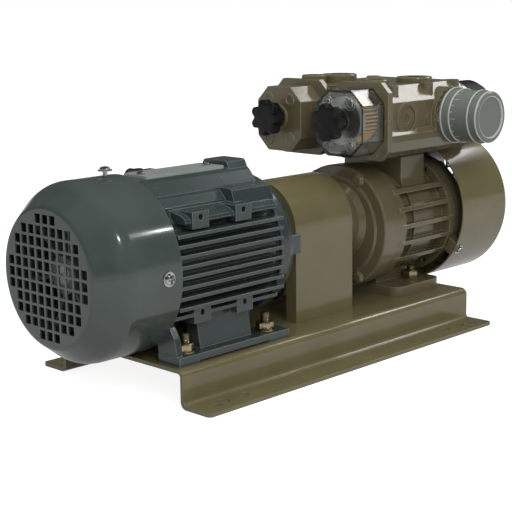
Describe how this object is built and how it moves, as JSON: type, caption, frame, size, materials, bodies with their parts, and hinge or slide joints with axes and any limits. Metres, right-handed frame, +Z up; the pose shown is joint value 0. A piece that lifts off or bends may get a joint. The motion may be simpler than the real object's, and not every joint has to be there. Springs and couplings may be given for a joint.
{
  "type": "dry rotary vane vacuum pump set",
  "caption": "Horizontal dry rotary vane vacuum pump coupled to a finned electric motor on a pressed base plate, with filter cases and regulating valves on a manifold.",
  "frame": {"origin": "centre of the rectangle of base anchor holes, on the underside of the base plate", "axes": "+X along the shaft from the motor fan to the pump fan, +Y to the side away from the regulator knob, +Z up"},
  "size_m": [0.5145, 0.215, 0.238],
  "materials": {
    "motor_paint": "gloss enamel, slate grey",
    "lid_paint": "gloss enamel, light grey",
    "pump_paint": "gloss enamel, olive brown",
    "pump_body_paint": "gloss enamel over iron casting",
    "steel": "ground and turned",
    "copper": "varnished winding",
    "zinc": "bright zinc plate",
    "yellow_zinc": "yellow passivated zinc plate",
    "aluminium": "turned",
    "rubber": "moulded polyurethane",
    "gasket": "pressed sheet",
    "carbon": "hard carbon, ground",
    "black_plastic": "moulded, smooth",
    "grey_plastic": "moulded, smooth",
    "fan_plastic": "moulded",
    "clear_plastic": "clear moulded plastic",
    "filter_paper": "pleated ochre filter paper"
  },
  "bodies": {
    "pump_set": {"base_plate": "pump_paint", "bearing_outer_rings": "steel", "cable_gland": "black_plastic", "coupling_guard": "pump_paint", "fan_cover_screws": "zinc", "front_cover_bolts": "zinc", "guard_screws": "zinc", "lid_screws": "zinc", "manifold": "pump_paint", "motor_bolts": "yellow_zinc", "motor_drive_bracket": "motor_paint", "motor_fan_cover": "motor_paint", "motor_frame": "motor_paint", "motor_rear_bracket": "motor_paint", "neck_gasket": "gasket", "port_collar_1": "pump_paint", "port_collar_2": "pump_paint", "port_collar_3": "pump_paint", "port_collar_4": "pump_paint", "pump_bolts": "yellow_zinc", "pump_cover_screws": "zinc", "pump_cylinder": "pump_body_paint", "pump_fan_cover": "pump_paint", "pump_front_cover": "pump_body_paint", "pump_rear_cover": "pump_body_paint", "rear_cover_bolts": "zinc", "regulator_base": "zinc", "relief_base": "aluminium", "side_plug": "zinc", "stator_core": "steel", "stator_windings": "copper", "terminal_box": "motor_paint", "terminal_box_lid": "lid_paint"},
    "drive": {"motor_shaft": "steel", "motor_rotor_core": "steel", "motor_fan": "fan_plastic", "motor_inner_rings": "steel", "coupling_hub_motor": "aluminium", "coupling_spider": "rubber", "coupling_hub_pump": "aluminium", "pump_rotor": "steel", "vane_1": "carbon", "vane_2": "carbon", "vane_3": "carbon", "vane_4": "carbon", "pump_inner_rings": "steel", "pump_fan": "aluminium"},
    "clear_case": {"clear_filter_case": "clear_plastic", "clear_case_element": "filter_paper"},
    "painted_case": {"painted_filter_case": "pump_paint", "painted_case_element": "filter_paper"},
    "clear_knob": {"clear_case_knob": "black_plastic"},
    "painted_knob": {"painted_case_knob": "black_plastic"},
    "regulator": {"regulator_knob": "grey_plastic"},
    "relief": {"relief_cap": "black_plastic"}
  },
  "joints": [
    {"name": "drive_spin", "type": "hinge", "parent": "pump_set", "child": "drive", "pos_m": [0, 0, 0.104], "axis": [1, 0, 0], "continuous": true},
    {"name": "clear_case_pull", "type": "slide", "parent": "pump_set", "child": "clear_case", "axis": [-1, 0, 0], "range_m": [0, 0.06]},
    {"name": "painted_case_pull", "type": "slide", "parent": "pump_set", "child": "painted_case", "axis": [-1, 0, 0], "range_m": [0, 0.06]},
    {"name": "clear_knob_turn", "type": "hinge", "parent": "clear_case", "child": "clear_knob", "pos_m": [0.03, -0.037, 0.202], "axis": [1, 0, 0], "continuous": true},
    {"name": "painted_knob_turn", "type": "hinge", "parent": "painted_case", "child": "painted_knob", "pos_m": [0.03, 0.037, 0.202], "axis": [1, 0, 0], "continuous": true},
    {"name": "regulator_turn", "type": "hinge", "parent": "pump_set", "child": "regulator", "pos_m": [0.169, -0.09, 0.2], "axis": [0, -1, 0], "range_deg": [-360, 360]},
    {"name": "relief_turn", "type": "hinge", "parent": "pump_set", "child": "relief", "pos_m": [0.23, -0.037, 0.202], "axis": [1, 0, 0], "range_deg": [-360, 360]}
  ]
}
